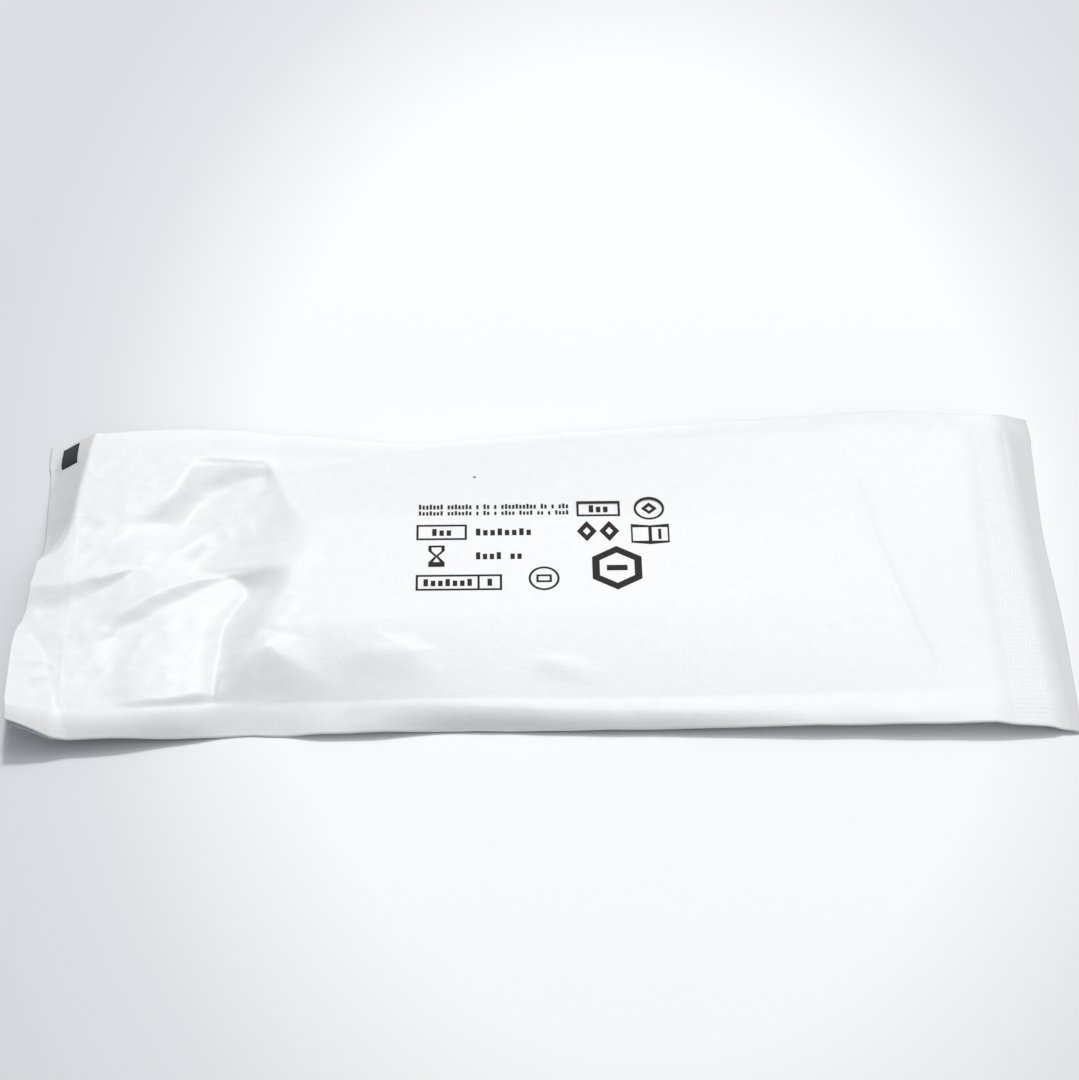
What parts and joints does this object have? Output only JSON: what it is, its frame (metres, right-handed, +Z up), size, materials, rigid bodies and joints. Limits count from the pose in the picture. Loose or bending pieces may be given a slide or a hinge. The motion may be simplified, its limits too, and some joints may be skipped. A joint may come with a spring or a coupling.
{
  "type": "sealed peel pack",
  "caption": "Flat peel pack of white medical paper over clear film, filled by a row of slim droppers up to its knurled peel seal, slack and creased at the other end, with small plain print.",
  "frame": {"origin": "middle of the pack's footprint, on the surface it lies on", "axes": "+X along the pack from the slack end to the knurled peel end, +Y across it towards the long side with the turned-down corner, +Z up out of the paper face"},
  "size_m": [0.228, 0.0925, 0.0091],
  "materials": {
    "paper": "uncoated white medical paper, faintly fibrous; the back is clear film",
    "ink": "flat brown-black print",
    "black_mark": "flat black print"
  },
  "bodies": {
    "root": {"sealed_pack": "paper", "print_marks": "ink", "eye_mark": "black_mark"}
  },
  "joints": []
}
